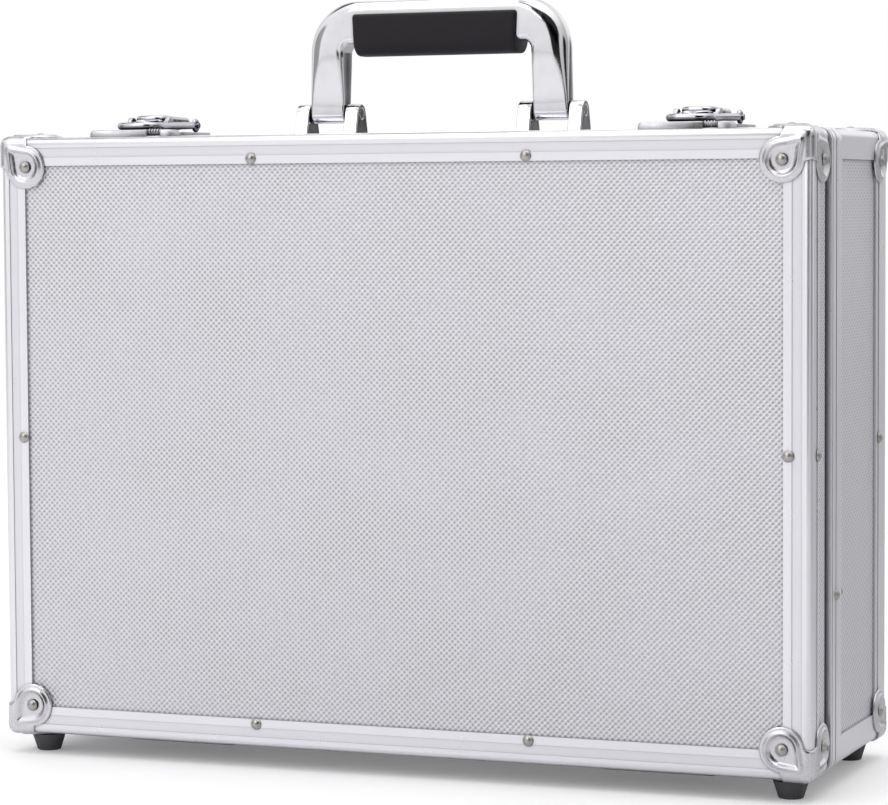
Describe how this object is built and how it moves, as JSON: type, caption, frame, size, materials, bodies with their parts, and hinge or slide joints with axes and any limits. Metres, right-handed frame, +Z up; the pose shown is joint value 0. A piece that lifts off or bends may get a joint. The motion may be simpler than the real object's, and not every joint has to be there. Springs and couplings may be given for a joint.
{
  "type": "poker chip case",
  "caption": "Aluminium carrying case for poker chips with hinged lid, folding handle, two draw latches, corner covers and foam chip trays.",
  "frame": {"origin": "under the middle of the closed case, at the level of the bottom of its feet", "axes": "+X along the width, -Y towards the lid, +Z up from the feet to the handle"},
  "size_m": [0.4052, 0.1392, 0.36],
  "materials": {
    "panel_sheet": "embossed diamond sheet",
    "edge_profile": "satin extruded",
    "chrome": "polished",
    "steel": "plated",
    "grip_rubber": "matte",
    "foot_rubber": "matte",
    "seal_rubber": "matte",
    "foam": "flocked closed-cell foam",
    "lining": "short felt"
  },
  "bodies": {
    "case": {"case_back_panel": "panel_sheet", "case_wall_top": "panel_sheet", "case_wall_bottom": "panel_sheet", "case_wall_left": "panel_sheet", "case_wall_right": "panel_sheet", "case_edge_top": "edge_profile", "case_edge_bottom": "edge_profile", "case_edge_left": "edge_profile", "case_edge_right": "edge_profile", "case_rim_top": "edge_profile", "case_rim_bottom": "edge_profile", "case_rim_left": "edge_profile", "case_rim_right": "edge_profile", "case_corner_angles": "edge_profile", "case_corner_covers": "chrome", "latch_base_left": "chrome", "latch_base_right": "chrome", "case_rivets": "steel", "stay_rivets": "steel", "case_foot_screws": "steel", "stay_bracket_left": "steel", "stay_bracket_right": "steel", "case_feet": "foot_rubber", "chip_tray_front": "foam", "chip_tray_rear": "foam", "case_lining": "lining", "hinge_case_leaves": "steel", "hinge_pins": "steel", "handle_bracket_left": "chrome", "handle_bracket_right": "chrome", "handle_pins": "chrome", "lever_pins": "steel"},
    "lid": {"lid_face_panel": "panel_sheet", "lid_wall_top": "panel_sheet", "lid_wall_bottom": "panel_sheet", "lid_wall_left": "panel_sheet", "lid_wall_right": "panel_sheet", "lid_edge_top": "edge_profile", "lid_edge_bottom": "edge_profile", "lid_edge_left": "edge_profile", "lid_edge_right": "edge_profile", "lid_corner_angles": "edge_profile", "lid_gasket": "seal_rubber", "lid_corner_covers": "chrome", "latch_strike_left": "chrome", "latch_strike_right": "chrome", "lid_rivets": "steel", "lid_foot_screws": "steel", "lid_feet": "foot_rubber", "lid_lining": "lining", "hinge_lid_leaves": "steel", "strike_springs": "steel"},
    "handle": {"handle_frame": "chrome", "handle_grip": "grip_rubber"},
    "latch_lever_left": {"latch_lever_left": "chrome", "bail_pin_left": "steel"},
    "latch_bail_left": {"latch_bail_left": "chrome"},
    "latch_lever_right": {"latch_lever_right": "chrome", "bail_pin_right": "steel"},
    "latch_bail_right": {"latch_bail_right": "chrome"}
  },
  "joints": [
    {"name": "lid_hinge", "type": "hinge", "parent": "case", "child": "lid", "pos_m": [0, -0.0386, 0.007], "axis": [1, 0, 0], "range_deg": [0, 95]},
    {"name": "handle_fold", "type": "hinge", "parent": "case", "child": "handle", "pos_m": [0, 0.001, 0.307], "axis": [1, 0, 0], "range_deg": [-88, 88]},
    {"name": "latch_lever_left_lift", "type": "hinge", "parent": "case", "child": "latch_lever_left", "pos_m": [-0.1373, -0.0315, 0.3028], "axis": [1, 0, 0], "range_deg": [0, 100]},
    {"name": "latch_bail_left_swing", "type": "hinge", "parent": "latch_lever_left", "child": "latch_bail_left", "pos_m": [-0.1373, -0.009, 0.3022], "axis": [1, 0, 0], "range_deg": [-100, 0]},
    {"name": "latch_lever_right_lift", "type": "hinge", "parent": "case", "child": "latch_lever_right", "pos_m": [0.1373, -0.0315, 0.3028], "axis": [1, 0, 0], "range_deg": [0, 100]},
    {"name": "latch_bail_right_swing", "type": "hinge", "parent": "latch_lever_right", "child": "latch_bail_right", "pos_m": [0.1373, -0.009, 0.3022], "axis": [1, 0, 0], "range_deg": [-100, 0]}
  ],
  "couplings": [
    {"joint": "latch_bail_left_swing", "follows": "latch_lever_left_lift", "ratio": -1},
    {"joint": "latch_bail_right_swing", "follows": "latch_lever_right_lift", "ratio": -1}
  ]
}
